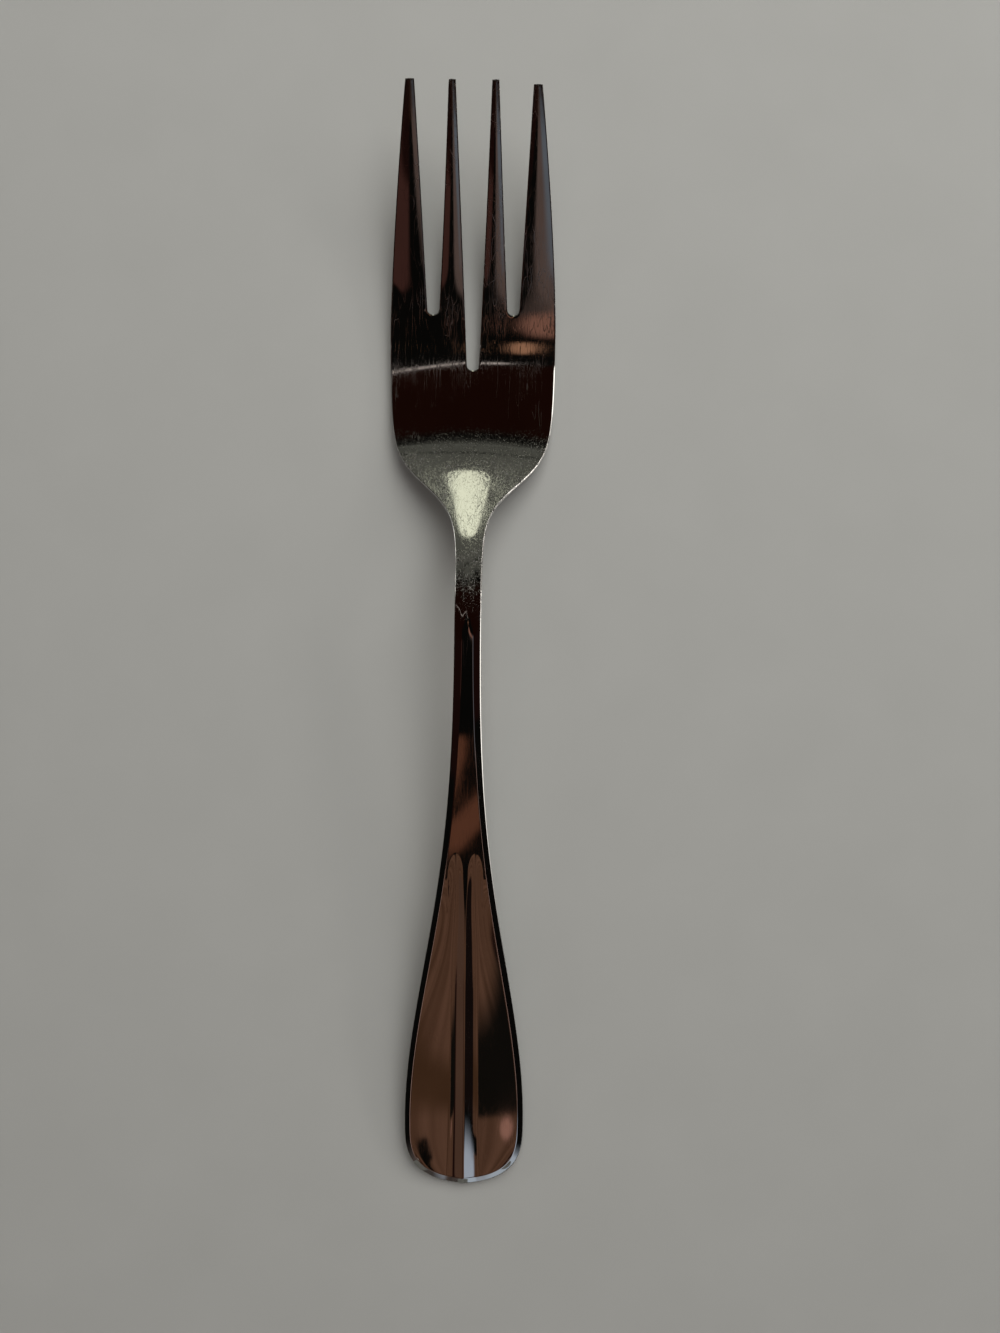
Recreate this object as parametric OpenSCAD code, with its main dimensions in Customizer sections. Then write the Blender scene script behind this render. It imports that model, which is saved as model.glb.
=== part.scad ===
// Dinner fork: one stamped, bent and polished piece of stainless steel, lying face up on a table.
// X runs across the fork, Y from the handle's end to the tine tips and Z up. Sizes are in millimetres.
// Distances called "s" in the functions run along Y, from 0 at the handle's end.

/* [Overall] */
// Length from the handle's end to the tine tips
total_length = 190; // [182:1:205]
// Height of the neck's underside above the table, before the bends are rounded
neck_rise = 13; // [10:0.5:16]
// Height of the tine tips' underside above the table
tip_rise = 13; // [9:0.5:17]

/* [Handle] */
// Widest part of the handle
handle_w = 21; // [17:0.5:25]
// Distance from the handle's end to its widest part
handle_widest = 11.8; // [9:0.2:16]
// Distance from the handle's end to the narrowest part of the neck
neck_at = 104; // [96:1:108]
// Narrowest width of the neck
neck_w = 4.5; // [4:0.1:6.5]
// Width of the sloped border around the handle
rim_w = 1.15; // [0.8:0.05:1.5]
// Width of the sloped border along the neck
neck_rim_w = 1.4; // [1:0.05:1.6]

/* [Flutes] */
// Distance from the handle's end to where the two flutes begin
flute_at = 60.5; // [45:0.5:70]
// Depth of a flute below the border's ridge
flute_depth = 0.42; // [0.2:0.02:0.6]
// Width of one sloping face of the rib between the flutes
rib_face_w = 1.7; // [1:0.1:2.4]
// Width of the rib's flat top where the flutes begin
rib_start_w = 0.9; // [0.6:0.1:1.4]

/* [Head] */
// Widest part of the head
head_w = 29.3; // [26:0.1:33]
// Width over the tine tips
tip_span = 22.9; // [20:0.1:26]
// Distance from the tine tips to the middle of the shoulders
shoulder_from_tip = 66.2; // [60:0.2:72]
// Distance from the tine tips to the widest part of the head
widest_from_tip = 39; // [34:0.5:44]
// Distance from the tine tips to the lowest point of the bowl
belly_from_tip = 47; // [43:0.5:51]

/* [Tines] */
// Depth of the slot between the two inner tines
centre_slot_l = 45; // [40:0.1:48]
// Depth of the slots beside the outer tines
side_slot_l = 35.4; // [30:0.2:40]
// Distance from the middle of the fork to the middle of a side slot
slot_pitch = 7.1; // [6.4:0.1:7.4]
// Width of each slot at its rounded root
root_w = 2.2; // [1.6:0.1:2.6]
// Width of the middle slot at the tips
centre_tip_w = 6.1; // [5:0.1:6.6]
// Width of a side slot at the tips
side_tip_w = 5.75; // [5:0.05:6]

/* [Thickness] */
// Thickness of the handle near its end
end_t = 2.0; // [1.5:0.1:2.8]
// Thickness of the neck
neck_t = 3.2; // [2.4:0.1:4]
// Thickness of the palm
palm_t = 2.2; // [1.6:0.1:3]
// Thickness of the tine tips
tip_t = 1.3; // [1:0.1:1.8]
// Width of the rounding along the edges of the head
edge_w = 0.45; // [0.4:0.05:0.8]

/* [Hidden] */

// Length against a fork of 190 mm: the small lengths below scale with it
ratio = total_length / 190;

// Shape of the outline: end of the handle, taper to the neck, shoulders and run to the tips
end_power = 3.1;
taper_power = 1.55;
tip_power = 1.6;
shoulder_run = 2.9 * ratio;
cheek_sag = 0.0011 / ratio;
shoulder_at = total_length - shoulder_from_tip;
head_widest = total_length - widest_from_tip;
belly_at = total_length - belly_from_tip;

// Side profile: a handle that droops at its end, a bowl that runs out into a straight ramp, and a hyperbola
// that rounds the crest between them
droop = ratio;
droop_run = 12 * ratio;
bowl_run = 45 * ratio;
ramp_at = belly_at - 21 * ratio;
crest_round = 4 * ratio;
foot_wear = 0.09 * ratio;
handle_slope = (neck_rise - droop) / neck_at;
bowl_gain = tip_rise / (belly_from_tip + bowl_run * (exp(-belly_from_tip / bowl_run) - 1));
belly_lift = pow(crest_round, 2) / (4 * (handle_slope * belly_at + droop));

// Rows along the fork: the roots of the slots start on a row of their own
end_x = 0.86 * handle_w / 2;
end_s = handle_widest * (1 - pow(1 - pow(2 * end_x / handle_w, 2), 1 / end_power));
root_r = root_w / 2;
centre_row_s = total_length - centre_slot_l + root_r;
side_row_s = total_length - side_slot_l + root_r;
tip_edge_w = 0.25 * ratio;
tip_row_s = total_length - tip_edge_w;
row_sets = [
    steps(end_s, 14 * ratio, 6),
    steps(14 * ratio, flute_at - 7 * ratio, 8),
    steps(flute_at - 7 * ratio, flute_at + 0.5 * ratio, 10),
    steps(flute_at + 0.5 * ratio, neck_at - 10 * ratio, 6),
    steps(neck_at - 10 * ratio, shoulder_at - 10 * ratio, 6),
    steps(shoulder_at - 10 * ratio, shoulder_at + 9 * ratio, 11),
    steps(shoulder_at + 9 * ratio, centre_row_s, 6),
    steps(centre_row_s, side_row_s, 5),
    steps(side_row_s, tip_row_s, 10)
];
rows = [each [for (set = row_sets) each set], tip_row_s];
last = len(rows) - 1;
side_row = last - len(row_sets[8]);
centre_row = side_row - len(row_sets[7]);
fade_rows = 7;
root_rows = 4;

// Columns from the middle to one edge, in four strips: middle slot, inner tine, side slot and outer tine
strip_steps = [3, 3, 6, 3];
c1 = strip_steps[0];
c2 = c1 + strip_steps[1];
c3 = c2 + strip_steps[2];
half_cols = c3 + strip_steps[3];
cols = 2 * half_cols + 1;

// Rounding of the edge, as shares of its width from the inside outwards
top_rings = [0.4, 0.8, 1];
under_rings = [0.65];

function clamp(u) = max(0, min(1, u));
function mix(a, b, w) = a + (b - a) * w;
function smooth(u) = let (c = clamp(u)) c * c * c * (c * (6 * c - 15) + 10);
function ease(u) = sin(90 * clamp(u));
function steps(a, b, n) = [for (k = [0:n - 1]) a + (b - a) * k / n];

// Half the width of the outline
function end_half(s) = handle_w / 2 * sqrt(1 - pow(1 - s / handle_widest, end_power));
function handle_half(s) =
    let (u = clamp((neck_at - s) / (neck_at - handle_widest)))
    neck_w / 2 + (handle_w - neck_w) / 2 * pow(sin(90 * pow(u, taper_power)), 2);
function head_half(s) =
    s < head_widest
    ? head_w / 2 - cheek_sag * pow(head_widest - s, 2)
    : head_w / 2 - (head_w - tip_span) / 2 * pow((s - head_widest) / widest_from_tip, tip_power);
function half_w(s) =
    s < handle_widest
    ? end_half(s)
    : handle_half(s) + (head_half(s) - neck_w / 2) / (1 + exp((shoulder_at - s) / shoulder_run));

// Underside along the middle, worn flat where the bowl touches the table, and the thickness of the steel
function handle_line(s) = handle_slope * s + droop * (1 - exp(-s / droop_run));
function bowl_curve(s) =
    let (d = s - belly_at)
    bowl_gain * (d + bowl_run * (exp(-d / bowl_run) - 1)) + belly_lift;
ramp_slope = bowl_gain * (1 - exp((belly_at - ramp_at) / bowl_run));
function bowl_line(s) = s < ramp_at ? bowl_curve(ramp_at) + ramp_slope * (s - ramp_at) : bowl_curve(s);
function bend(s) =
    let (a = handle_line(s), b = bowl_line(s))
    (a + b - sqrt(pow(a - b, 2) + pow(crest_round, 2))) / 2;
foot_z = min([for (k = [-20:20]) bend(belly_at + 0.2 * k * ratio)]) + foot_wear;
function underside(s) = s < shoulder_at ? bend(s) : max(bend(s), foot_z);
function thick(s) =
    s < neck_at
    ? mix(end_t, neck_t, smooth(s / neck_at))
    : s < belly_at
    ? mix(neck_t, palm_t, smooth((s - neck_at) / (belly_at - neck_at)))
    : mix(palm_t, tip_t, pow((s - belly_at) / belly_from_tip, 1.4));

// Width of the border or rounding along the edge
function band(s) =
    s < shoulder_at
    ? mix(
        mix(rim_w, neck_rim_w, smooth((s - flute_at) / (neck_at - flute_at))),
        edge_w,
        smooth((s - neck_at + 4 * ratio) / (shoulder_at - neck_at))
    )
    : mix(edge_w, tip_edge_w, smooth((s - side_row_s) / (tip_row_s - side_row_s)));

// Inner line of the border: beside the handle and head, and around the handle's end
function inner_side(s) =
    let (d = 0.01, k = (half_w(s + d) - half_w(s - d)) / (2 * d), n = band(s) / sqrt(1 + k * k))
    [half_w(s) - n, s < centre_row_s ? s + k * n : s];
function end_q(x) = 1 - pow(2 * x / handle_w, 2);
function end_slope(x) =
    handle_widest * 8 * x / (end_power * handle_w * handle_w) * pow(end_q(x), 1 / end_power - 1);
function end_inset(x) = let (k = end_slope(x)) rim_w / sqrt(1 + k * k);
function end_outer(inner_x, x, n) =
    n == 0 ? x : end_outer(inner_x, inner_x + end_slope(x) * end_inset(x), n - 1);
function inner_end(inner_x) =
    let (x = end_outer(inner_x, inner_x, 12))
    handle_widest * (1 - pow(end_q(x), 1 / end_power)) + end_inset(x);
sides = [for (s = rows) inner_side(s)];

// Half the width of a slot, which keeps its root's width below the root
function slot_half(s, length, tip_w) =
    let (run = length - root_r)
    mix(root_w, tip_w, clamp((s - total_length + run) / run)) / 2;

// Rib between the flutes: half its flat top, and the width of its sloping faces
function rib_half(s) = rib_start_w / 2 * mix(0.2, 1, smooth((s - flute_at) / (14 * ratio) + 1));
function rib_face(s) =
    rib_face_w * mix(1, 0.6, smooth((s - flute_at) / (20 * ratio) + 1))
    + 0.35 * rib_face_w * exp((end_s - s) / (4 * ratio));

// Lines between the strips, from the middle outwards, as they run on the handle and on the head
function strip_lines(s, x) =
    let (
        r = min(rib_half(s), 0.2 * x),
        f = min(r + rib_face(s), 0.6 * x),
        c = slot_half(s, centre_slot_l, centre_tip_w) + band(s),
        g = slot_half(s, side_slot_l, side_tip_w) + band(s),
        h = smooth((s - neck_at) / (shoulder_at + 4 * ratio - neck_at)),
        w = half_w(s) / half_w(centre_row_s),
        p = mix(w, 1, smooth((s - shoulder_at) / (12 * ratio)))
    )
    [
        0,
        mix(r, c * p, h),
        mix(f, (slot_pitch - g) * p, h),
        mix((f + x) / 2, (slot_pitch + g) * p, h),
        x
    ];
// Share of the way across its strip for each column: even on tines, by angle on slots
function strip_share(strip, k) =
    strip == 0
    ? sin(90 * k / strip_steps[0])
    : strip == 2 ? (1 - cos(180 * k / strip_steps[2])) / 2 : k / strip_steps[strip];
function col_x(c, lines) =
    let (
        strip = c < c1 ? 0 : c < c2 ? 1 : c < c3 ? 2 : 3,
        k = c - [0, c1, c2, c3][strip]
    )
    mix(lines[strip], lines[strip + 1], strip_share(strip, k));

// How far a column is pulled back towards the handle to follow a slot's round root
function root_pull(i, c) =
    let (
        middle = c < c1,
        a = middle ? 90 * c / c1 : c > c2 && c < c3 ? 180 * (c - c2) / strip_steps[2] - 90 : 90,
        row = middle ? centre_row : side_row,
        w = clamp(1 - (row - i) / root_rows)
    )
    (root_r + band(rows[i])) * cos(a) * w * (i <= row ? 1 : 0);

// Plan position [x, s] of a point of the grid, for columns on the +X side
lines_at = [for (i = [0:last]) strip_lines(rows[i], sides[i][0])];
ends = [for (c = [0:half_cols]) inner_end(col_x(c, lines_at[0]))];
function plan_half(i, c) =
    [
        col_x(c, lines_at[i]),
        sides[i][1] - (sides[0][1] - ends[c]) * (1 - smooth(i / fade_rows)) - root_pull(i, c)
    ];
plan = [
    for (i = [0:last])
        [for (j = [-half_cols:half_cols]) let (p = plan_half(i, abs(j))) [j < 0 ? -p[0] : p[0], p[1]]]
];

// Depth of the flutes: roof-shaped rib with a coved foot, round start, hollow floor up to the border's ridge
flute_x = half_w(flute_at) - rim_w;
function flute(a, s, lines, from_end) =
    let (
        r = lines[1],
        q = clamp(abs(2 * a - flute_x - r) / (flute_x - r)),
        start = flute_at - 3.8 * ratio * (1 - sqrt(1 - q * q)) - s,
        ends_at = ease(start / (1.8 * ratio)) * ease(from_end / (2.5 * ratio)),
        t = max(0, min(1.4, (a - r) / (lines[2] - r))),
        roof = t - pow(max(0, t - 0.6), 2) / 1.6,
        depth = flute_depth * min(1, (lines[2] - r) / rib_face_w),
        floor_depth = 1 - pow(clamp(a / lines[4]), 2)
    )
    s > flute_at ? 0 : depth * roof * floor_depth * ends_at;

// Crown across the neck, ridge from the neck into the palm, shallow dish across it, and crowns of the tines
function past_neck(s) = smooth((s - neck_at) / (24 * ratio));
function crown(s) =
    0.12 * ratio * smooth((s - neck_at) / (9 * ratio) + 1) * (1 - smooth((s - neck_at) / (10 * ratio)));
function ridge(a, s) =
    let (
        radius = 14 * ratio * exp(max(s - neck_at, -40 * ratio) / (8 * ratio)),
        fade = 1 - smooth((s - shoulder_at - 6 * ratio) / (14 * ratio))
    )
    a * a / (2 * radius) * smooth((s - neck_at + 6 * ratio) / (10 * ratio)) * fade;
function dish(s) = 0.1 * ratio * smooth((s - shoulder_at - 4 * ratio) / (22 * ratio));
function tine_share(c) = c < c1 ? 1 : c < c2 ? abs(2 * (c - c1) / (c2 - c1) - 1) : c < c3 ? 1
    : abs(2 * (c - c3) / (half_cols - c3) - 1);
function tine_crown(s, c) =
    0.1 * ratio * pow(tine_share(c), 2)
    * smooth((s - centre_row_s - 3 * ratio) / (side_row_s - centre_row_s + 4 * ratio));

function top_z(i, j) =
    let (
        x = plan[i][j][0],
        s = plan[i][j][1],
        c = abs(j - half_cols),
        v = clamp(abs(x) / sides[i][0])
    )
    bend(s) + thick(s) - (crown(s) - dish(s)) * v * v - ridge(abs(x), s) - tine_crown(s, c)
    - flute(abs(x), s, lines_at[i], s - ends[c]);
function under_z(i, j) =
    let (
        s = plan[i][j][1],
        c = abs(j - half_cols),
        v = clamp(abs(plan[i][j][0]) / sides[i][0])
    )
    underside(s) + (0.15 * ratio + crown(s)) * v * v * (1 - past_neck(s)) + tine_crown(s, c);

// Edge of the grid, once around: end, right side, tips and slots, left side
function run(i0, i1, j0, j1) =
    i0 == i1
    ? [for (j = [j0:sign(j1 - j0):j1]) [i0, j]]
    : [for (i = [i0:sign(i1 - i0):i1]) [i, j0]];
h0 = half_cols;
edge = concat(
    run(0, 0, 0, 2 * h0),
    run(1, last, 2 * h0, 2 * h0),
    run(last, last, 2 * h0 - 1, h0 + c3),
    run(last - 1, side_row, h0 + c3, h0 + c3),
    run(side_row, side_row, h0 + c3 - 1, h0 + c2),
    run(side_row + 1, last, h0 + c2, h0 + c2),
    run(last, last, h0 + c2 - 1, h0 + c1),
    run(last - 1, centre_row, h0 + c1, h0 + c1),
    run(centre_row, centre_row, h0 + c1 - 1, h0 - c1),
    run(centre_row + 1, last, h0 - c1, h0 - c1),
    run(last, last, h0 - c1 - 1, h0 - c2),
    run(last - 1, side_row, h0 - c2, h0 - c2),
    run(side_row, side_row, h0 - c2 - 1, h0 - c3),
    run(side_row + 1, last, h0 - c3, h0 - c3),
    run(last, last, h0 - c3 - 1, 0),
    run(last - 1, 1, 0, 0)
);
rim = len(edge);
function edge_plan(m) = let (e = edge[(m + rim) % rim]) plan[e[0]][e[1]];
function unit(t) = t / norm(t);
function outward(m) =
    let (
        p = edge_plan(m),
        ahead = unit(edge_plan(m + 1) - p),
        t = unit(ahead + unit(p - edge_plan(m - 1)))
    )
    [t[1], -t[0]] / max(0.74, ahead * t);

// One ring of the edge: straight border on the handle, round on the head
function ring_point(m, share, above) =
    let (
        e = edge[m],
        p = edge_plan(m),
        s = rows[e[0]],
        o = p + outward(m) * share * band(s),
        zt = top_z(e[0], e[1]),
        zu = under_z(e[0], e[1]),
        straight = 1 - smooth((s - neck_at + 8 * ratio) / (10 * ratio)),
        round_part = sqrt(1 - share * share),
        border = share < 0.9 ? 1 - 0.4 * share : 0,
        zm = mix(zu, zt, mix(0.5, 0.4, straight)),
        up = mix(zm, zt, mix(round_part, border, straight)),
        z = above ? up : mix(zm, zu, round_part)
    )
    [o[0], o[1], z];

top_points = [for (i = [0:last]) for (j = [0:cols - 1]) [each plan[i][j], top_z(i, j)]];
under_points = [for (i = [0:last]) for (j = [0:cols - 1]) [each plan[i][j], under_z(i, j)]];
ring_points = [
    each [for (share = top_rings) for (m = [0:rim - 1]) ring_point(m, share, true)],
    each [for (share = under_rings) for (m = [0:rim - 1]) ring_point(m, share, false)]
];
points = concat(top_points, under_points, ring_points);
lowest = min([for (p = under_points) p[2]]);

// Faces: cells of the grid outside the slots, then the rings of the edge
grid = len(top_points);
function in_slot(i, j) =
    let (c = j < h0 ? h0 - 1 - j : j - h0)
    (i >= centre_row && c < c1) || (i >= side_row && c >= c2 && c < c3);
function cell(i, j, base, flip) =
    let (a = base + i * cols + j, b = a + 1, c = b + cols, d = a + cols)
    flip ? [[a, b, c], [a, c, d]] : [[a, d, c], [a, c, b]];
function ring_id(k, m, under) =
    let (e = edge[m % rim])
    k == 0
    ? (under ? grid : 0) + e[0] * cols + e[1]
    : 2 * grid + (k - 1) * rim + m % rim;
function ring_face(k0, k1, m, under) =
    let (
        a = ring_id(k0, m, under),
        b = ring_id(k0, m + 1, under),
        c = ring_id(k1, m + 1, under),
        d = ring_id(k1, m, under)
    )
    under ? [[a, c, b], [a, d, c]] : [[a, b, c], [a, c, d]];
ring_pairs = [[0, 1, false], [1, 2, false], [2, 3, false], [0, 4, true], [4, 3, true]];
faces = concat(
    [for (i = [0:last - 1]) for (j = [0:cols - 2]) if (!in_slot(i, j)) each cell(i, j, 0, false)],
    [for (i = [0:last - 1]) for (j = [0:cols - 2]) if (!in_slot(i, j)) each cell(i, j, grid, true)],
    [for (r = ring_pairs) for (m = [0:rim - 1]) each ring_face(r[0], r[1], m, r[2])]
);

// The whole fork, resting on its bowl and on the end of its handle
module fork() {
    color("silver")
        translate([0, -total_length / 2, -lowest])
            polyhedron(points = points, faces = faces, convexity = 8);
}

fork();
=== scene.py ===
import math

import bpy
import numpy as np
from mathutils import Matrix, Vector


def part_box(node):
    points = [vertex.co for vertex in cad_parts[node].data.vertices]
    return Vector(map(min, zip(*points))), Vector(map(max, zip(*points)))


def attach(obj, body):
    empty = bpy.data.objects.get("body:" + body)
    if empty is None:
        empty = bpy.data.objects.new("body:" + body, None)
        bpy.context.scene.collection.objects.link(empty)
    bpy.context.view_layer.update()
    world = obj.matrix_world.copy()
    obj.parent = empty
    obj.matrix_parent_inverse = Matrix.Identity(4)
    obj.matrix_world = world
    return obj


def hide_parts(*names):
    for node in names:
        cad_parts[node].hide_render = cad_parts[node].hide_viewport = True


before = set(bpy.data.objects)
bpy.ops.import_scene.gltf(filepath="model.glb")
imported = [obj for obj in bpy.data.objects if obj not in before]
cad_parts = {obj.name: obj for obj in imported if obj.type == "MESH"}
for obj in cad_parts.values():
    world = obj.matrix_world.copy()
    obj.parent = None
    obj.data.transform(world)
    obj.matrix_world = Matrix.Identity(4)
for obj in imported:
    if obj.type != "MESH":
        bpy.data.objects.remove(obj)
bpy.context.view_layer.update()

# Sizes of the fork in millimetres; s runs along Y from 0 at the handle's end
mm_per_m = 1000
low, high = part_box("fork")
length = (high[1] - low[1]) * mm_per_m
head_w = (high[0] - low[0]) * mm_per_m
neck_rise = 13.0
tip_rise = 13.0
handle_w = 21.0
handle_widest = 11.8
neck_at = 104.0
neck_w = 4.5
tip_span = 22.9
widest_from_tip = 39.0
belly_from_tip = 47.0
shoulder_from_tip = 66.2
centre_slot_l = 45.0
side_slot_l = 35.4
slot_pitch = 7.1
root_w = 2.2
centre_tip_w = 6.1
side_tip_w = 5.75
right_tine_short = 0.6
head_lines_at = 4.0
slot_lines_run = 12.0

# Thickness, and the bevel along the edges
end_t = 2.0
neck_t = 3.2
neck_t_run = 6.0
palm_t = 2.2
tip_t = 1.3
tip_t_power = 1.4
edge_w = 0.22
tip_edge_w = 0.2
bevel_steep = 0.62
bevel_slight = 0.42
bevel_round = 0.3
bevel_from, bevel_run = 142.0, 10.0
edge_level, handle_edge_level = 0.5, 0.4

# Outline and side profile
end_power = 3.1
taper_power = 1.55
tip_power = 1.6
shoulder_run = 2.9
cheek_sag = 0.0011
droop = 1.0
droop_run = 12.0
bowl_run = 45.0
ramp_from_belly = 21.0
crest_round = 4.0
foot_wear = 0.09
foot_reach = 4.0

# Handle: sloped border, flutes, and the rib between them
rim_w = 1.15
neck_rim_w = 1.4
border_fall = 0.37
ridge_round = 0.16
rim_fade_lead = 4.0
border_lead, border_run = 8.0, 10.0
end_knee, neck_knee = 0.9, 0.88
knee_from, knee_run = 66.0, 24.0
flute_at = 60.5
flute_depth = 0.42
arch_l = 3.8
arch_ramp = 7.0
rib_start_w = 0.9
rib_end_share = 0.2
rib_run = 14.0
rib_most = 0.2
rib_face_w = 1.7
face_start_share = 0.6
face_run = 20.0
face_most = 0.6
flare_share = 0.35
flare_run = 4.0
roof_top = 1.4
roof_bend_at, roof_bend = 0.6, 1.6

# Crowns of the top face, and the outer tines' lean as a slope
neck_crown_h = 0.12
neck_crown_lead, neck_crown_run = 9.0, 10.0
under_crown_h, under_crown_run = 0.15, 24.0
ridge_neck_r = 14.0
ridge_grow = 8.0
ridge_back = 40.0
ridge_lead, ridge_run = 6.0, 10.0
ridge_fade_at, ridge_fade_run = 6.0, 14.0
dish_h = 0.1
dish_at, dish_run = 4.0, 22.0
tine_crown_h, tine_crown_run = 0.1, 9.0
tine_lead = 1.0
left_lean, left_lean_run = 0.040, 6.0
right_lean, right_lean_run = 0.026, 13.0

shoulder_at = length - shoulder_from_tip
head_widest = length - widest_from_tip
belly_at = length - belly_from_tip
ramp_at = belly_at - ramp_from_belly
root_r = root_w / 2
handle_slope = (neck_rise - droop) / neck_at
bowl_gain = tip_rise / (belly_from_tip + bowl_run * (math.exp(-belly_from_tip / bowl_run) - 1))
belly_lift = crest_round ** 2 / (4 * (handle_slope * belly_at + droop))
first_row_share = 0.86
first_row_s = handle_widest * (1 - (1 - first_row_share ** 2) ** (1 / end_power))
centre_row_s = length - centre_slot_l + root_r
side_row_s = length - side_slot_l + root_r
tip_row_s = length - tip_edge_w


def clamp(u):
    return np.clip(u, 0.0, 1.0)


def mix(a, b, share):
    return a + (b - a) * share


def smooth(u):
    c = clamp(u)
    return c ** 3 * (c * (6 * c - 15) + 10)


def ease(u):
    return np.sin(np.pi / 2 * clamp(u))


# Half of the width
def half_w(s):
    s = np.asarray(s, dtype=float)
    end = handle_w / 2 * np.sqrt(clamp(1 - clamp(1 - s / handle_widest) ** end_power))
    u = clamp((neck_at - s) / (neck_at - handle_widest))
    handle = neck_w / 2 + (handle_w - neck_w) / 2 * np.sin(np.pi / 2 * u ** taper_power) ** 2
    to_tip = np.maximum(s - head_widest, 0)
    cheek = head_w / 2 - cheek_sag * np.maximum(head_widest - s, 0) ** 2
    head = cheek - (head_w - tip_span) / 2 * (to_tip / widest_from_tip) ** tip_power
    step = 1 / (1 + np.exp((shoulder_at - s) / shoulder_run))
    return np.where(s < handle_widest, end, handle + (head - neck_w / 2) * step)


# Height of the bent line under the fork: the handle's slope and the bowl, joined by a round crest
def bend(s):
    a = handle_slope * s + droop * (1 - np.exp(-s / droop_run))
    d = np.maximum(s, ramp_at) - belly_at
    b = bowl_gain * (d + bowl_run * (np.exp(-d / bowl_run) - 1)) + belly_lift
    b = b + bowl_gain * (1 - math.exp((belly_at - ramp_at) / bowl_run)) * np.minimum(s - ramp_at, 0)
    return (a + b - np.sqrt((a - b) ** 2 + crest_round ** 2)) / 2


# The same line with the worn flat on which the bowl rests
def underside(s):
    foot_z = bend(belly_at + np.linspace(-foot_reach, foot_reach, 41)).min() + foot_wear
    return np.where(s < shoulder_at, bend(s), np.maximum(bend(s), foot_z))


# Thickness, greatest at the neck
def thick(s):
    near = mix(end_t, neck_t, smooth(s / neck_at))
    thin_from = neck_at + neck_t_run
    middle = mix(neck_t, palm_t, smooth((s - thin_from) / (belly_at - thin_from)))
    far = mix(palm_t, tip_t, clamp((s - belly_at) / belly_from_tip) ** tip_t_power)
    return np.where(s < neck_at, near, np.where(s < belly_at, middle, far))


# Width of what lies outside the grid: the border on the handle, the bevel elsewhere
def band(s):
    rim = mix(rim_w, neck_rim_w, smooth((s - flute_at) / (neck_at - flute_at)))
    before = mix(rim, edge_w, smooth((s - neck_at + rim_fade_lead) / (shoulder_at - neck_at)))
    after = mix(edge_w, tip_edge_w, smooth((s - side_row_s) / (tip_row_s - side_row_s)))
    return np.where(s < shoulder_at, before, after)


# Rows along the fork and columns across it, closest together where the surface turns sharply
def steps(a, b, count, power=1.0):
    return a + (b - a) * (np.arange(count) / count) ** power


row_sets = [
    steps(first_row_s, 14, 34, 1.6),
    steps(14, flute_at - 7, 32),
    steps(flute_at - 7, flute_at + 0.5, 54),
    steps(flute_at + 0.5, neck_at - 10, 28),
    steps(neck_at - 10, shoulder_at - 10, 32),
    steps(shoulder_at - 10, shoulder_at + 9, 52),
    steps(shoulder_at + 9, centre_row_s, 34),
    steps(centre_row_s, side_row_s, 24),
    steps(side_row_s, tip_row_s, 52),
]
rows = np.concatenate(row_sets + [[tip_row_s]])
last = len(rows) - 1
side_row = last - len(row_sets[8])
centre_row = side_row - len(row_sets[7])
fade_rows = 30
root_rows = 16
strip_steps = [9, 12, 20, 14]
c1 = strip_steps[0]
c2 = c1 + strip_steps[1]
c3 = c2 + strip_steps[2]
half_cols = c3 + strip_steps[3]
cols = 2 * half_cols + 1

nudge = 0.01
slope_w = (half_w(rows + nudge) - half_w(rows - nudge)) / (2 * nudge)
inset = band(rows) / np.sqrt(1 + slope_w ** 2)
side_x = half_w(rows) - inset
side_s = np.where(rows < centre_row_s, rows + slope_w * inset, rows)


# Slope of the handle's end, as the change of s with x
def end_slope(x):
    q = 1 - (2 * x / handle_w) ** 2
    return handle_widest * 8 * x / (end_power * handle_w ** 2) * q ** (1 / end_power - 1)


# Where the handle's end, moved inwards by the border's width, has these x; found by repeated correction
def inner_end(inner_x):
    x = inner_x.copy()
    for _ in range(40):
        k = end_slope(x)
        x = inner_x + k * rim_w / np.sqrt(1 + k * k)
    q = 1 - (2 * x / handle_w) ** 2
    return handle_widest * (1 - q ** (1 / end_power)) + rim_w / np.sqrt(1 + end_slope(x) ** 2)


# Half of a slot's width
def slot_half(s, slot_l, tip_w):
    taper_l = slot_l - root_r
    return mix(root_w, tip_w, clamp((s - length + taper_l) / taper_l)) / 2


# Lines between the strips: rib and flutes on the handle, slots and tines on the head
rib = rib_start_w / 2 * mix(rib_end_share, 1, smooth((rows - flute_at + rib_run) / rib_run))
rib = np.minimum(rib, rib_most * side_x)
face = rib_face_w * mix(1, face_start_share, smooth((rows - flute_at + face_run) / face_run))
flare = flare_share * rib_face_w * np.exp((first_row_s - rows) / flare_run)
face = np.minimum(rib + face + flare, face_most * side_x)
centre_in = slot_half(rows, centre_slot_l, centre_tip_w) + band(rows)
side_in = slot_half(rows, side_slot_l, side_tip_w) + band(rows)
to_head = smooth((rows - neck_at) / (shoulder_at + head_lines_at - neck_at))
share_w = half_w(rows) / half_w(centre_row_s)
narrow = mix(share_w, 1, smooth((rows - shoulder_at) / slot_lines_run))
narrow = np.where(rows < shoulder_at + slot_lines_run, narrow, 1)
lines = np.stack([
    np.zeros_like(rows),
    mix(rib, centre_in * narrow, to_head),
    mix(face, (slot_pitch - side_in) * narrow, to_head),
    mix((face + side_x) / 2, (slot_pitch + side_in) * narrow, to_head),
    side_x,
], axis=1)

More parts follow.
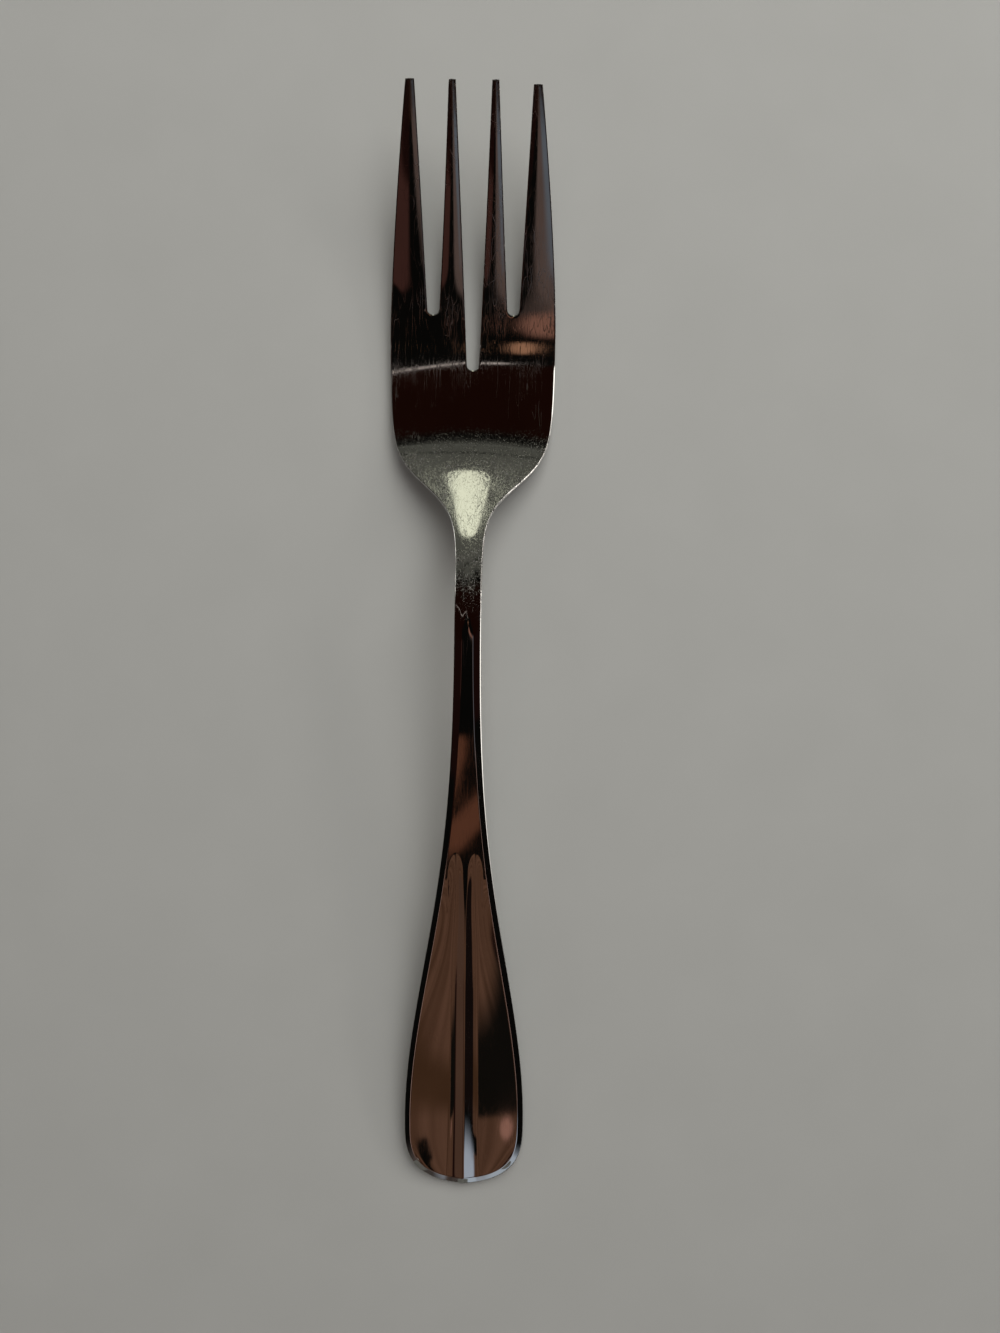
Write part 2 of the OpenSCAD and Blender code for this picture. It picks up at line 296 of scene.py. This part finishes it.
# Even shares of a strip on the inner tine, by angle on the slots and towards the outer edge
shares = [
    np.sin(np.pi / 2 * np.arange(strip_steps[0]) / strip_steps[0]),
    np.arange(strip_steps[1]) / strip_steps[1],
    (1 - np.cos(np.pi * np.arange(strip_steps[2]) / strip_steps[2])) / 2,
    np.sin(np.pi / 2 * np.arange(strip_steps[3]) / strip_steps[3]),
]
half_x = np.concatenate(
    [mix(lines[:, k:k + 1], lines[:, k + 1:k + 2], shares[k][None, :]) for k in range(4)]
    + [lines[:, 4:5]], axis=1)
ends = inner_end(half_x[0])
index = np.arange(last + 1)
column = np.arange(half_cols + 1)
fade = 1 - smooth(index / fade_rows)
half_s = side_s[:, None] - (side_s[0] - ends)[None, :] * fade[:, None]

# Columns inside a slot are pulled back, so that the slot's root is round
at_centre = column < c1
at_side = (column > c2) & (column < c3)
turn = np.where(at_centre, 90 * column / c1, 90.0)
turn = np.where(at_side, 180 * (column - c2) / strip_steps[2] - 90, turn)
rows_left = np.where(at_centre, centre_row, side_row)[None, :] - index[:, None]
pull = clamp(1 - rows_left / root_rows) * (rows_left >= 0)
half_s = half_s - (root_r + band(rows))[:, None] * np.cos(np.radians(turn))[None, :] * smooth(pull)

grid_x = np.concatenate([-half_x[:, :0:-1], half_x], axis=1)
grid_s = np.concatenate([half_s[:, :0:-1], half_s], axis=1)
grid_c = np.abs(np.arange(cols) - half_cols)
on_left = grid_x < 0
outer_tine = (grid_c >= c3)[None, :]
# The right tine ends a little short of the others
right_tine = (grid_x > 0) & outer_tine
grid_s = grid_s - right_tine_short * right_tine * clamp((grid_s - side_row_s) / (tip_row_s - side_row_s))
across = np.abs(grid_x)
to_side = clamp(across / side_x[:, None])

# Flutes: a roof-shaped rib, a round start, and a hollow floor that rises to the border's ridge.
# They run out at the handle's end
flute_x = float(half_w(flute_at)) - rim_w
rib_line = lines[:, 1:2]
face_line = lines[:, 2:3]
arch = clamp(np.abs(2 * across - flute_x - rib_line) / (flute_x - rib_line))
from_start = flute_at - arch_l * (1 - np.sqrt(1 - arch * arch)) - grid_s
roof = np.clip((across - rib_line) / (face_line - rib_line), 0.0, roof_top)
roof = roof - np.maximum(roof - roof_bend_at, 0) ** 2 / roof_bend
hollow = 1 - to_side ** 2
depth = flute_depth * np.minimum(1, (face_line - rib_line) / rib_face_w)
flute = depth * roof * hollow * ease(from_start / arch_ramp) * (grid_s <= flute_at)

# Crowns: a ridge that runs from the neck into the palm, a shallow dish, and each tine's own
neck_crown = neck_crown_h * smooth((grid_s - neck_at + neck_crown_lead) / neck_crown_lead)
neck_crown = neck_crown * (1 - smooth((grid_s - neck_at) / neck_crown_run))
ridge_r = ridge_neck_r * np.exp(np.maximum(grid_s - neck_at, -ridge_back) / ridge_grow)
ridge = across ** 2 / (2 * ridge_r) * smooth((grid_s - neck_at + ridge_lead) / ridge_run)
ridge = ridge * (1 - smooth((grid_s - shoulder_at - ridge_fade_at) / ridge_fade_run))
dish = dish_h * smooth((grid_s - shoulder_at - dish_at) / dish_run)
on_inner = np.abs(2 * (grid_c - c1) / (c2 - c1) - 1)
outer_mid = (lines[:, 3:4] + lines[:, 4:5]) / 2
outer_half = (lines[:, 4:5] - lines[:, 3:4]) / 2
on_outer = clamp(np.abs(across - outer_mid) / outer_half)
on_tine = np.where((grid_c >= c1) & (grid_c <= c2), on_inner, 1.0)[None, :]
on_tine = np.where(outer_tine, on_outer, on_tine)
tine_crown = tine_crown_h * on_tine ** 2 * smooth((grid_s - side_row_s + tine_lead) / tine_crown_run)

# The outer tines lean outwards, the left one more and sooner
lean = np.where(on_left, left_lean, right_lean) * (across - outer_mid) * outer_tine
lean = lean * smooth((grid_s - side_row_s + tine_lead) / np.where(on_left, left_lean_run, right_lean_run))

top_z = bend(grid_s) + thick(grid_s) - (neck_crown - dish) * to_side ** 2 - ridge - tine_crown - lean - flute
to_neck = 1 - smooth((grid_s - neck_at) / under_crown_run)
under_z = underside(grid_s) + (under_crown_h + neck_crown) * to_side ** 2 * to_neck + tine_crown


# The grid's edge, once around, and the rings of the border outside it
def walk(i0, i1, j0, j1):
    if i0 == i1:
        step = 1 if j1 >= j0 else -1
        return [(i0, j) for j in range(j0, j1 + step, step)]
    step = 1 if i1 >= i0 else -1
    return [(i, j0) for i in range(i0, i1 + step, step)]


h0 = half_cols
edge = np.array(
    walk(0, 0, 0, 2 * h0) + walk(1, last, 2 * h0, 2 * h0) + walk(last, last, 2 * h0 - 1, h0 + c3)
    + walk(last - 1, side_row, h0 + c3, h0 + c3) + walk(side_row, side_row, h0 + c3 - 1, h0 + c2)
    + walk(side_row + 1, last, h0 + c2, h0 + c2) + walk(last, last, h0 + c2 - 1, h0 + c1)
    + walk(last - 1, centre_row, h0 + c1, h0 + c1) + walk(centre_row, centre_row, h0 + c1 - 1, h0 - c1)
    + walk(centre_row + 1, last, h0 - c1, h0 - c1) + walk(last, last, h0 - c1 - 1, h0 - c2)
    + walk(last - 1, side_row, h0 - c2, h0 - c2) + walk(side_row, side_row, h0 - c2 - 1, h0 - c3)
    + walk(side_row + 1, last, h0 - c3, h0 - c3) + walk(last, last, h0 - c3 - 1, 0)
    + walk(last - 1, 1, 0, 0))
rim_n = len(edge)
edge_i, edge_j = edge[:, 0], edge[:, 1]
rim_plan = np.stack([grid_x[edge_i, edge_j], grid_s[edge_i, edge_j]], axis=1)
ahead = np.roll(rim_plan, -1, axis=0) - rim_plan
ahead /= np.linalg.norm(ahead, axis=1, keepdims=True)
tangent = ahead + np.roll(ahead, 1, axis=0)
tangent /= np.linalg.norm(tangent, axis=1, keepdims=True)
corner_limit = 0.74
outward = np.stack([tangent[:, 1], -tangent[:, 0]], axis=1)
outward /= np.maximum(np.sum(tangent * ahead, axis=1), corner_limit)[:, None]
rim_s = rows[edge_i]
rim_top = top_z[edge_i, edge_j]
rim_under = under_z[edge_i, edge_j]
on_handle = 1 - smooth((rim_s - neck_at + border_lead) / border_run)
rim_mid = mix(rim_under, rim_top, mix(edge_level, handle_edge_level, on_handle))
top_shares = [0.04, 0.08, 0.12, 0.16, 0.24, 0.32, 0.6, 0.8, 0.84, 0.88, 0.91, 0.94, 0.965, 0.985, 1.0]
under_shares = [0.97, 0.88, 0.72, 0.5, 0.25]
knee_at = mix(end_knee, neck_knee, smooth((rim_s - knee_from) / knee_run))
outer_side = (edge_j == 0) | (edge_j == 2 * h0)
bevel = mix(bevel_steep, bevel_slight, smooth((rim_s - bevel_from) / bevel_run))
bevel = np.where(outer_side, bevel, bevel_slight)
rim_band = band(rim_s)
rim_deep = rim_top - rim_mid
bevel_share = np.minimum(1, edge_w / rim_band)


# One ring of the border, at a share of its width
def ring(share, above):
    plan = rim_plan + outward * (share * rim_band)[:, None]
    if not above:
        return np.column_stack([plan, mix(rim_mid, rim_under, math.sqrt(max(0.0, 1 - share * share)))])
    if share == 1.0:
        return np.column_stack([plan, rim_mid])
    out = np.maximum(share - 1 + bevel_share, 0) / bevel_share
    bevel_drop = np.where(out > bevel_round, out - bevel_round / 2, out ** 2 / (2 * bevel_round))
    edge_drop = bevel * bevel_share * rim_band * bevel_drop
    slope_drop = share - ridge_round / 2 if share > ridge_round else share * share / (2 * ridge_round)
    border_drop = border_fall * rim_deep * slope_drop
    border_drop = border_drop + np.maximum(share - knee_at, 0) * (bevel * rim_band - border_fall * rim_deep)
    return np.column_stack([plan, rim_top - mix(edge_drop, border_drop, on_handle)])


top = np.column_stack([grid_x.ravel(), grid_s.ravel(), top_z.ravel()])
under = np.column_stack([grid_x.ravel(), grid_s.ravel(), under_z.ravel()])
rings = [ring(share, True) for share in top_shares] + [ring(share, False) for share in under_shares]
points = np.concatenate([top, under] + rings)
points[:, 1] -= length / 2
points[:, 2] -= points[:, 2].min()
points *= 1 / mm_per_m

# Faces: cells of the two grids outside the slots, then strips between the rings
cell_i, cell_j = np.meshgrid(np.arange(last), np.arange(cols - 1), indexing="ij")
cell_c = np.where(cell_j < h0, h0 - 1 - cell_j, cell_j - h0)
in_centre_slot = (cell_i >= centre_row) & (cell_c < c1)
in_side_slot = (cell_i >= side_row) & (cell_c >= c2) & (cell_c < c3)
corner = (cell_i * cols + cell_j)[~(in_centre_slot | in_side_slot)]
grid_n = len(top)
top_faces = np.stack([corner, corner + 1, corner + 1 + cols, corner + cols], axis=1)
under_faces = top_faces[:, ::-1] + grid_n
top_edge = edge_i * cols + edge_j
ring_starts = [2 * grid_n + k * rim_n for k in range(len(rings))]
loops = [top_edge] + [start + np.arange(rim_n) for start in ring_starts] + [top_edge + grid_n]
ring_faces = []
for inner, outer in zip(loops[:-1], loops[1:]):
    ring_faces.append(np.stack([inner, outer, np.roll(outer, -1), np.roll(inner, -1)], axis=1))
faces = np.concatenate([top_faces, under_faces] + ring_faces)

# The grid's points inside the slots belong to no face and are left out
used, faces = np.unique(faces, return_inverse=True)
faces = faces.reshape(-1, 4)


def add_mesh(name, corners, polygons):
    data = bpy.data.meshes.new(name)
    data.from_pydata(corners, [], polygons)
    data.validate()
    data.update()
    data.polygons.foreach_set("use_smooth", np.ones(len(data.polygons), dtype=bool))
    piece = bpy.data.objects.new(name, data)
    bpy.context.scene.collection.objects.link(piece)
    return piece


fork = add_mesh("fork_steel", points[used].tolist(), faces.tolist())


# Small helpers for node trees
class Nodes:
    def __init__(self, tree):
        self.tree = tree
        tree.nodes.clear()

    def add(self, kind, **values):
        node = self.tree.nodes.new(kind)
        for name, value in values.items():
            setattr(node, name, value)
        return node

    def put(self, socket, value):
        if isinstance(value, bpy.types.NodeSocket):
            self.tree.links.new(value, socket)
        else:
            socket.default_value = value

    def math(self, operation, a, b=0.0, c=0.0):
        node = self.add("ShaderNodeMath", operation=operation)
        for socket, value in zip(node.inputs, (a, b, c)):
            self.put(socket, value)
        return node.outputs[0]

    def chain(self, operation, items):
        result = items[0]
        for item in items[1:]:
            result = self.math(operation, result, item)
        return result

    def times(self, *items):
        return self.chain("MULTIPLY", items)

    def plus(self, *items):
        return self.chain("ADD", items)

    def most(self, *items):
        return self.chain("MAXIMUM", items)

    def step(self, value, start, stop, low_value=0.0, high_value=1.0):
        node = self.add("ShaderNodeMapRange", interpolation_type="SMOOTHSTEP")
        for name, item in zip(("Value", "From Min", "From Max", "To Min", "To Max"),
                              (value, start, stop, low_value, high_value)):
            self.put(node.inputs[name], item)
        return node.outputs["Result"]

    def fall(self, value, start, stop):
        return self.step(value, start, stop, 1.0, 0.0)

    # Offset from a middle in shares of a half width
    def offset(self, value, middle, half):
        return self.math("DIVIDE", self.math("SUBTRACT", value, middle), half)

    def mix(self, factor, a, b):
        node = self.add("ShaderNodeMix", data_type="RGBA")
        self.put(node.inputs[0], factor)
        for socket, value in ((node.inputs[6], a), (node.inputs[7], b)):
            self.put(socket, value if isinstance(value, bpy.types.NodeSocket) else (*value, 1.0))
        return node.outputs[2]

    def noise(self, vector, scale=1.0, detail=2.0, rough=0.5):
        node = self.add("ShaderNodeTexNoise")
        self.put(node.inputs["Vector"], vector)
        node.inputs["Scale"].default_value = scale
        node.inputs["Detail"].default_value = detail
        node.inputs["Roughness"].default_value = rough
        return node.outputs["Fac"]

    # The shift moves a pattern by a different amount along each axis
    def place(self, vector, scale, turn=0.0, shift=0.0):
        node = self.add("ShaderNodeMapping")
        self.put(node.inputs["Vector"], vector)
        node.inputs["Location"].default_value = (shift, shift * 0.7, shift * 0.3)
        node.inputs["Rotation"].default_value = (0.0, 0.0, math.radians(turn))
        node.inputs["Scale"].default_value = scale
        return node.outputs["Vector"]


# Polished stainless steel: polishing lines, hairline scratches, a scuffed neck and dull worn tips.
# Lengths along the fork are in millimetres from its middle, so the tips are at half its length
steel = bpy.data.materials.new("polished_steel")
steel.use_nodes = True
n = Nodes(steel.node_tree)
mm = n.place(n.add("ShaderNodeTexCoord").outputs["Object"], (mm_per_m, mm_per_m, mm_per_m))
split = n.add("ShaderNodeSeparateXYZ")
n.put(split.inputs[0], mm)
along = split.outputs["Y"]

polish = n.noise(n.place(mm, (6.0, 0.05, 6.0)), detail=3.0, rough=0.6)
smudge = n.noise(n.place(mm, (0.11, 0.07, 0.11)), detail=3.0, rough=0.55)
patchy = n.noise(n.place(mm, (0.32, 0.2, 0.32), 20.0, 3.0), detail=4.0, rough=0.6)
specks = n.noise(n.place(mm, (2.7, 2.7, 2.7), 35.0, 7.0), detail=3.0, rough=0.65)


# Thin lines where a stretched noise field crosses its middle value
def scratches(turn, across_scale, along_scale, shift, width):
    stretched = n.place(mm, (across_scale, along_scale, across_scale), turn, shift)
    field = n.noise(stretched, detail=1.0, rough=0.4)
    return n.fall(n.math("ABSOLUTE", n.math("SUBTRACT", field, 0.5)), 0.0, width)


long_hair = n.most(scratches(8.0, 0.9, 0.03, 5.0, 0.008), scratches(-24.0, 0.7, 0.04, 17.0, 0.006))
short_hair = n.most(
    scratches(38.0, 1.5, 0.16, 31.0, 0.016), scratches(-52.0, 1.7, 0.18, 47.0, 0.016),
    scratches(81.0, 1.4, 0.15, 59.0, 0.014), scratches(-12.0, 1.8, 0.14, 71.0, 0.014))
worn = n.step(n.noise(n.place(mm, (0.16, 0.1, 0.16), 0.0, 9.0)), 0.46, 0.64)
neck_zone = n.times(n.step(along, 3.0, 13.0), n.fall(along, 31.0, 42.0))
head_zone = n.step(along, 9.0, 24.0, 0.15, 1.0)
palm_zone = n.times(n.step(along, 37.0, 42.0), n.fall(along, 51.0, 57.0))
tip_zone = n.step(along, length / 2 - 9.0, length / 2 - 1.5)
clear_x = n.offset(split.outputs["X"], -0.4, 4.0)
clear_y = n.offset(along, 24.7, 8.5)
clear = n.plus(n.times(clear_x, clear_x), n.times(clear_y, clear_y))
scuff = n.times(neck_zone, n.step(patchy, 0.34, 0.62, 0.25, 1.0), n.step(clear, 0.6, 1.2, 0.12, 1.0))
tip_wear = n.times(tip_zone, n.step(patchy, 0.25, 0.6, 0.5, 1.0))
dust = n.times(scuff, n.step(specks, 0.575, 0.64))
palm_patches = n.step(n.noise(n.place(mm, (0.5, 0.12, 0.5), 0.0, 91.0)), 0.5, 0.62)
palm_hair = n.times(scratches(0.0, 0.8, 0.04, 83.0, 0.02), palm_zone, palm_patches)
hair = n.most(
    n.times(palm_hair, 0.8),
    n.times(long_hair, head_zone, n.step(worn, 0.0, 1.0, 0.15, 0.7)),
    n.times(short_hair, n.most(scuff, n.times(worn, head_zone, 0.2))))

rough = n.plus(
    n.step(smudge, 0.35, 0.7, 0.018, 0.042), n.step(polish, 0.42, 0.75, 0.0, 0.028),
    n.times(hair, 0.42), n.times(dust, 0.5), n.times(tip_wear, 0.16))
clean_tone, smudged_tone = (0.60, 0.585, 0.565), (0.66, 0.65, 0.63)
dust_tone, tip_tone = (0.86, 0.85, 0.82), (0.26, 0.23, 0.21)
tone = n.mix(n.step(smudge, 0.3, 0.7), clean_tone, smudged_tone)
tone = n.mix(dust, tone, dust_tone)
tone = n.mix(n.times(tip_wear, 0.8), tone, tip_tone)
height = n.plus(
    n.times(polish, n.step(along, 40.0, 52.0, 0.035, 0.075)), n.times(hair, -0.6),
    n.times(dust, 2.4), n.times(tip_wear, specks, 0.2))
bump = n.add("ShaderNodeBump")
bump.inputs["Strength"].default_value = 0.6
bump.inputs["Distance"].default_value = 0.000012
n.put(bump.inputs["Height"], height)
steel_shader = n.add("ShaderNodeBsdfPrincipled")
steel_shader.inputs["Metallic"].default_value = 1.0
n.put(steel_shader.inputs["Base Color"], tone)
n.put(steel_shader.inputs["Roughness"], rough)
n.put(steel_shader.inputs["Normal"], bump.outputs["Normal"])
n.put(n.add("ShaderNodeOutputMaterial").inputs["Surface"], steel_shader.outputs[0])
fork.data.materials.append(steel)

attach(fork, "root")
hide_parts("fork")

# Stage, in metres: a pale floor that rises into a low round wall
flat_r = 1.1
wall_r = 0.5
wall_top = 0.62
around = 96
profile = [(radius, 0.0) for radius in (0.05, 0.12, 0.3, 0.7, flat_r)]
for angle in np.radians(range(6, 91, 6)):
    profile.append((flat_r + wall_r * math.sin(angle), wall_r - wall_r * math.cos(angle)))
profile.append((flat_r + wall_r, wall_top))
stage_points = [(0.0, 0.0, 0.0)]
for radius, z in profile:
    for k in range(around):
        angle = 2 * math.pi * k / around
        stage_points.append((radius * math.cos(angle), radius * math.sin(angle), z))
stage_faces = [(0, 1 + k, 1 + (k + 1) % around) for k in range(around)]
for level in range(len(profile) - 1):
    a = 1 + level * around
    b = a + around
    stage_faces += [(a + k, b + k, b + (k + 1) % around, a + (k + 1) % around) for k in range(around)]
floor = add_mesh("floor", stage_points, stage_faces)
pale = bpy.data.materials.new("pale_floor")
pale.use_nodes = True
f = Nodes(pale.node_tree)
floor_noise = f.noise(f.add("ShaderNodeTexCoord").outputs["Object"], 60.0, 3.0)
floor_shader = f.add("ShaderNodeBsdfPrincipled")
floor_shader.inputs["Roughness"].default_value = 0.9
floor_shader.inputs["Specular IOR Level"].default_value = 0.1
f.put(floor_shader.inputs["Base Color"], f.mix(floor_noise, (0.405, 0.405, 0.39), (0.435, 0.435, 0.42)))
f.put(f.add("ShaderNodeOutputMaterial").inputs["Surface"], floor_shader.outputs[0])
floor.data.materials.append(pale)

# Surroundings above the wall, which the steel mirrors: a dim room with a warm ceiling and a bluish side.
# tilt_x and tilt_y are degrees away from straight up, towards +X and towards +Y
world = bpy.data.worlds.new("studio")
bpy.context.scene.world = world
world.use_nodes = True
w = Nodes(world.node_tree)
ray = w.add("ShaderNodeSeparateXYZ")
w.put(ray.inputs[0], w.add("ShaderNodeTexCoord").outputs["Generated"])
ray_x, ray_y, ray_z = (ray.outputs[axis] for axis in "XYZ")
degrees = 180 / math.pi
lift = w.math("MAXIMUM", ray_z, 0.02)
tilt_x = w.times(w.math("ARCTAN2", ray_x, lift), degrees)
tilt_y = w.times(w.math("ARCTAN2", ray_y, lift), degrees)


def between(value, a, b, soft):
    return w.times(w.step(value, a - soft, a + soft), w.fall(value, b - soft, b + soft))


# A value times a factor, plus another value
def slant(value, factor, other):
    return w.math("MULTIPLY_ADD", value, factor, other)


# 1 on the outline of an oval around a direction, less inside; a high power makes it a rounded box
def oval(at_x, at_y, reach_x, reach_y, power):
    offsets = (w.offset(tilt_x, at_x, reach_x), w.offset(tilt_y, at_y, reach_y))
    return w.plus(*[w.math("POWER", w.math("ABSOLUTE", item), power) for item in offsets])


black = (0.0032, 0.0030, 0.0026)
umber = (0.0100, 0.0028, 0.0016)
rust = (0.0110, 0.0040, 0.0032)
dark_red = (0.014, 0.005, 0.004)
card_black = (0.006, 0.005, 0.004)
rib_black = (0.0075, 0.0045, 0.0040)
brown = (0.050, 0.020, 0.016)
brown_grey = (0.102, 0.070, 0.060)
side_brown = (0.085, 0.044, 0.029)
shade_brown = (0.060, 0.028, 0.014)
warm_low = (0.068, 0.032, 0.018)
warm_high = (0.122, 0.060, 0.037)
tan = (0.112, 0.042, 0.023)
rose = (0.33, 0.16, 0.12)
pink = (0.52, 0.33, 0.28)
copper = (0.24, 0.112, 0.078)
orange = (0.38, 0.19, 0.11)
cream = (0.60, 0.52, 0.48)
slate = (0.092, 0.093, 0.079)
slate_light = (0.112, 0.114, 0.098)
slate_dark = (0.030, 0.031, 0.026)
grey_blue = (0.118, 0.130, 0.152)
end_blue = (0.42, 0.47, 0.56)
far_blue = (0.46, 0.52, 0.60)
far_grey = (0.060, 0.050, 0.046)
window_white = (1.10, 1.13, 0.88)
right_white = (2.7, 2.6, 2.45)
left_white = (2.4, 2.4, 2.25)

# Over the tines: brown on the left, black, then brownish grey and grey-blue on the right
over_tines = brown
for start, stop, colour in (
        (-9.5, -6.5, black), (-1.3, 2.2, brown_grey), (6.5, 13.0, grey_blue), (22.0, 30.0, rust)):
    over_tines = w.mix(w.step(tilt_x, start, stop), over_tines, colour)
over_tines = w.mix(w.step(tilt_x, -30.0, -22.0), rust, over_tines)

# Over the handle: warm brown with streaks, dark red beside the rib, a dark card, and pink at both sides
streak = w.add("ShaderNodeTexNoise", noise_dimensions="1D")
w.put(streak.inputs["W"], tilt_x)
streak.inputs["Scale"].default_value = 0.45
streak.inputs["Detail"].default_value = 3.0
warm = w.mix(w.step(streak.outputs["Fac"], 0.35, 0.65), warm_low, warm_high)
near_neck = w.step(tilt_y, -34.4, -33.2)
beside_rib = w.mix(near_neck, dark_red, warm)
over_handle = w.mix(w.step(tilt_x, -25.0, -21.0), side_brown, beside_rib)
card = w.times(between(tilt_x, -19.0, -3.0, 0.5), w.step(tilt_y, -41.4, -40.8), w.fall(tilt_y, -36.4, -33.8))
shade = w.times(between(tilt_y, -40.4, -37.2, 1.0), w.step(tilt_x, -3.0, -1.5))
rib_top = w.times(between(tilt_x, -3.4, -0.6, 0.3), w.step(tilt_y, -32.0, -28.5))
rib_side = w.step(slant(near_neck, -4.5, tilt_x), 14.0, 18.0)
end_patch = w.times(w.step(tilt_x, 3.0, 3.6), between(tilt_y, -44.8, -42.7, 0.2))
rose_spot = w.fall(oval(-8.4, -42.1, 1.0, 0.95, 2.0), 0.3, 1.3)
end_light = w.times(w.step(tilt_x, 10.0, 16.0), w.fall(tilt_y, -47.0, -43.0))
right_pink = between(tilt_x, 31.0, 39.0, 1.0)
left_pink = between(tilt_x, -43.0, -35.0, 1.0)
for mask, colour in (
        (w.step(tilt_x, -18.0, -15.5), warm), (shade, shade_brown), (card, card_black), (rib_top, black),
        (rib_side, rib_black), (end_patch, black), (rose_spot, rose), (end_light, end_blue),
        (w.times(right_pink, w.step(tilt_y, -46.0, -40.0)), pink), (left_pink, pink),
        (w.step(tilt_x, 39.0, 42.0), black), (w.fall(tilt_x, -47.0, -43.0), black)):
    over_handle = w.mix(mask, over_handle, colour)

# Over the lower neck: two tan patches cross the black
tan_band = between(slant(tilt_x, -1.3, tilt_y), -22.5, -19.8, 0.3)
left_wedge = w.times(w.step(slant(tilt_x, -4.5, tilt_y), -9.9, -9.1), w.fall(tilt_x, -2.12, -1.86))
low_neck = black
for mask, colour in (
        (tan_band, tan), (w.times(left_wedge, w.fall(tilt_y, -17.2, -16.4)), tan),
        (w.step(tilt_x, 0.5, 6.0), black), (right_pink, pink), (w.fall(tilt_x, -10.0, -5.0), rust)):
    low_neck = w.mix(mask, low_neck, colour)

# All bands, from the handle's end to the shoulders
beyond_end = w.mix(w.step(tilt_x, -14.0, 4.0), far_grey, far_blue)
sides = w.math("ABSOLUTE", w.math("ADD", tilt_x, 2.0))
over_palm = w.mix(w.step(sides, 8.0, 13.0), black, umber)
tines_from = slant(w.step(tilt_x, -0.9, 0.6), 6.0, tilt_y)
palm_from = slant(w.step(tilt_x, -0.6, 0.4), -2.4, tilt_y)
bow = w.math("MINIMUM", w.math("ADD", w.math("MAXIMUM", tilt_x, -9.0), 2.0), 0.0)
bent = slant(bow, 0.65, tilt_y)
cream_line = w.times(between(bent, 11.7, 12.1, 0.1), w.fall(tilt_x, -0.9, 0.0))
arc = slant(w.times(tilt_x, tilt_x), 0.012, tilt_y)
room = beyond_end
for mask, colour in (
        (w.step(tilt_y, -66.0, -54.0), over_handle), (w.step(tilt_y, -26.5, -25.0), low_neck),
        (w.step(tines_from, -13.0, -11.6), over_tines), (w.step(palm_from, 0.0, 2.0), over_palm),
        (w.fall(oval(1.0, 4.1, 1.15, 2.6, 2.0), 0.2, 1.3), copper),
        (w.fall(oval(0.1, 8.6, 0.6, 1.4, 2.0), 0.2, 1.3), orange),
        (cream_line, cream), (w.step(bent, 12.0, 12.3), umber), (w.step(tilt_y, 33.3, 37.3), black),
        (w.step(tilt_y, 38.0, 41.5), slate), (between(arc, 40.6, 41.4, 0.2), slate_light),
        (between(arc, 43.9, 44.9, 0.3), slate_dark)):
    room = w.mix(mask, room, colour)

# Windows: the one that the shoulders mirror, with round corners, and two low ones that line the edges
pane = w.fall(oval(-3.6, 60.0, 5.5, 8.7, 4.0), 0.93, 1.07)
low_ring = between(w.times(w.math("ARCCOSINE", ray_z), degrees), 61.5, 69.5, 0.7)
forward = w.math("DIVIDE", ray_y, w.math("MAXIMUM", w.math("ABSOLUTE", ray_x), 0.01))
right_part = w.times(w.step(ray_x, 0.1, 0.2), between(forward, -0.30, 1.1, 0.08))
left_part = w.times(w.fall(ray_x, -0.2, -0.1), between(forward, 0.45, 1.1, 0.08))
for mask, colour in (
        (pane, window_white), (w.times(low_ring, right_part), right_white),
        (w.times(low_ring, left_part), left_white)):
    room = w.mix(mask, room, colour)
glow = w.add("ShaderNodeBackground")
w.put(glow.inputs["Color"], room)
glow.inputs["Strength"].default_value = 1.0
w.put(w.add("ShaderNodeOutputWorld").inputs["Surface"], glow.outputs[0])


# Lamps for the floor and the shadow, which the steel doesn't mirror: a wide soft one overhead and a soft key
def lamp(name, tilt, turn, distance, size, radiance, colour):
    data = bpy.data.lights.new(name, "AREA")
    data.shape = "RECTANGLE"
    data.size = size
    data.size_y = size
    data.energy = radiance * math.pi * size * size
    data.color = colour
    lamp_object = bpy.data.objects.new(name, data)
    t, a = math.radians(tilt), math.radians(turn)
    lamp_object.location = (
        distance * math.sin(t) * math.cos(a), distance * math.sin(t) * math.sin(a), distance * math.cos(t))
    lamp_object.rotation_euler = (0.0, t, a)
    lamp_object.visible_glossy = False
    lamp_object.visible_camera = False
    bpy.context.scene.collection.objects.link(lamp_object)


lamp("overhead", tilt=12.0, turn=50.0, distance=1.6, size=2.4, radiance=0.38, colour=(1.0, 1.0, 0.98))
lamp("key", tilt=40.0, turn=62.0, distance=0.72, size=0.62, radiance=3.4, colour=(1.0, 1.0, 0.97))

# Camera straight above, as the photo was taken
photo_height_px = 1333
focal_px = 1001.2
sensor_mm = 36.0
camera_data = bpy.data.cameras.new("camera")
camera_data.sensor_fit = "VERTICAL"
camera_data.sensor_height = sensor_mm
camera_data.sensor_width = sensor_mm
camera_data.lens = focal_px / photo_height_px * sensor_mm
camera_data.clip_start = 0.01
camera = bpy.data.objects.new("camera", camera_data)
camera.location = (0.00547, -0.00265, 0.1804)
camera.rotation_euler = (0.0, 0.0, math.radians(0.676))
bpy.context.scene.collection.objects.link(camera)
bpy.context.scene.camera = camera
bpy.context.scene.view_settings.view_transform = "Standard"
